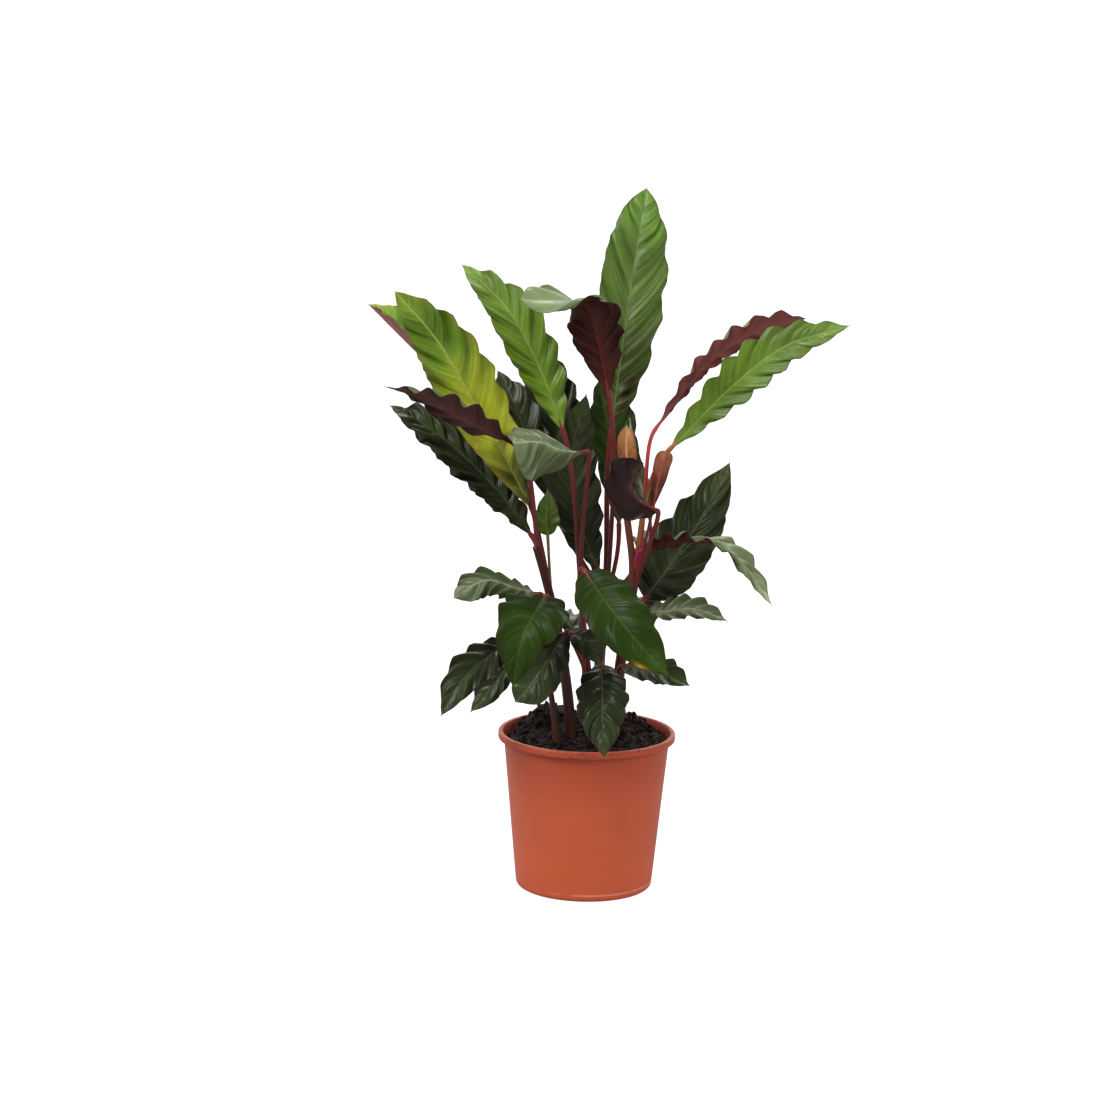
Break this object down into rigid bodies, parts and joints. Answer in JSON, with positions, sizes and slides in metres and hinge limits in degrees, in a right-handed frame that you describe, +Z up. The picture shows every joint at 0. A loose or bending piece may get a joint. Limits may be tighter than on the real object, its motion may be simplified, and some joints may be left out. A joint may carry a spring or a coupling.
{
  "type": "potted calathea",
  "caption": "Potted calathea with lance-shaped, wavy-edged leaves, green above and burgundy below, on red stalks in a plain round nursery pot of dark peat.",
  "frame": {"origin": "centre of the pot's flat underside, on the surface that the pot stands on", "axes": "+Z up along the pot's axis; -Y is the plant's front, the side the picture was taken from; +X is to the right there"},
  "size_m": [0.4496, 0.2661, 0.6664],
  "materials": {
    "pot": "satin",
    "soil": "matte",
    "stalk": "satin",
    "sheath": "matte",
    "leaf_fresh": "satin",
    "leaf_light": "satin",
    "leaf_mid": "satin",
    "leaf_dark": "satin",
    "leaf_wine": "satin"
  },
  "bodies": {
    "root": {"pot": "pot", "soil": "soil", "shoot_tall_left": "stalk", "shoot_low_left": "stalk", "shoot_centre": "stalk", "shoot_back": "stalk", "shoot_right": "stalk", "shoot_front": "stalk", "leaf_crown": "leaf_mid", "leaf_twisted": "leaf_wine", "leaf_left_centre": "leaf_light", "leaf_big_left": "leaf_fresh", "leaf_folded_left": "leaf_fresh", "leaf_wine_left": "leaf_wine", "leaf_dark_left": "leaf_dark", "leaf_small_forward": "leaf_mid", "leaf_inner_left": "leaf_dark", "leaf_inner_front": "leaf_dark", "leaf_inner_back": "leaf_dark", "leaf_inner_right": "leaf_mid", "leaf_young_light": "leaf_light", "leaf_cupped": "leaf_wine", "leaf_young_right": "leaf_mid", "leaf_wine_right": "leaf_wine", "leaf_light_right": "leaf_light", "leaf_dark_right": "leaf_dark", "leaf_arching_right": "leaf_light", "leaf_small_right": "leaf_mid", "leaf_waved_left": "leaf_mid", "leaf_front_left": "leaf_mid", "leaf_low_left": "leaf_dark", "leaf_low_left_back": "leaf_dark", "leaf_low_left_front": "leaf_mid", "leaf_big_front": "leaf_mid", "leaf_over_rim": "leaf_dark", "leaf_low_right": "leaf_dark", "leaf_inner_low": "leaf_dark", "leaf_back_low_left": "leaf_dark", "leaf_back_low_right": "leaf_dark", "leaf_back_right": "leaf_dark", "sheath_centre": "sheath", "sheath_right": "sheath"}
  },
  "joints": []
}
